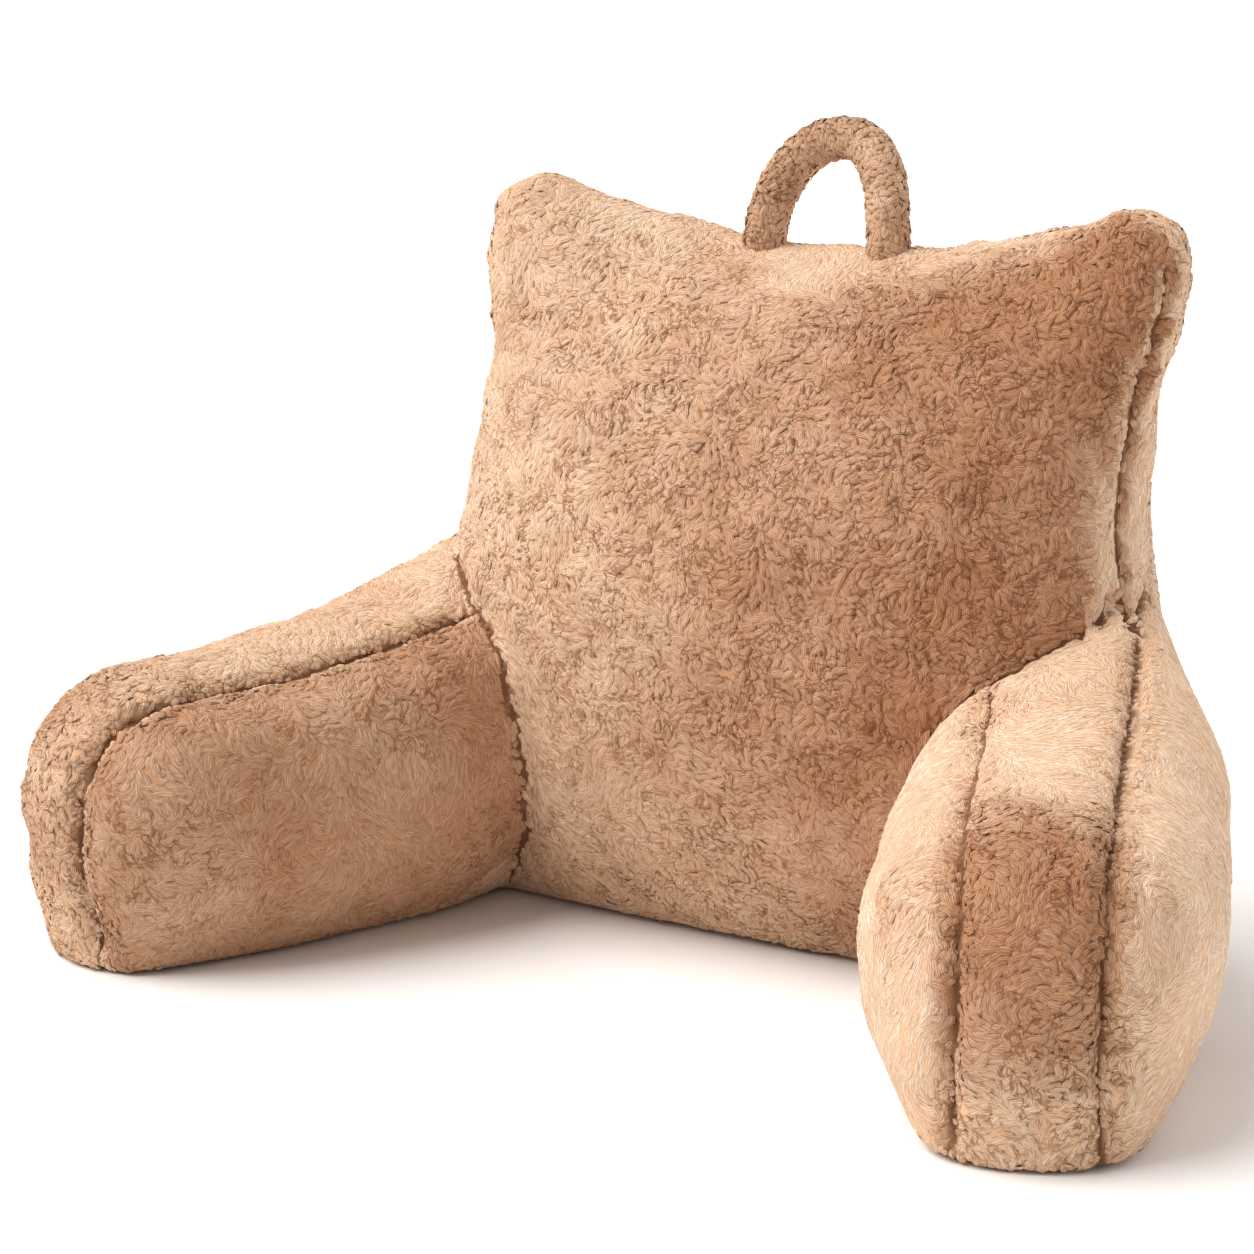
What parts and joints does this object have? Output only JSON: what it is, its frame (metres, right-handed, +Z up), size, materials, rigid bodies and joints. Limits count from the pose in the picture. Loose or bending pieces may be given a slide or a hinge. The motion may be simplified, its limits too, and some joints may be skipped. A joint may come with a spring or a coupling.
{
  "type": "reading pillow with arms",
  "caption": "Plush bed rest pillow: a crowned back cushion with splayed, softly boxed arms and a padded carry loop on its top edge.",
  "frame": {"origin": "middle of the back cushion's base, on the surface it stands on, just behind the front panel's bottom edge", "axes": "+Z up, +X towards the sitter's left arm rest as the pillow is seen from the front (viewer's right), -Y the way the front panel faces"},
  "size_m": [0.8694, 0.504, 0.5551],
  "materials": {
    "plush_cover": "short tan plush pile in soft ruffled locks, matt",
    "plush_handle": "the same tan plush, sewn into a tube"
  },
  "bodies": {
    "root": {"back_cushion": "plush_cover", "arm_left": "plush_cover", "arm_right": "plush_cover", "carry_handle": "plush_handle"}
  },
  "joints": []
}
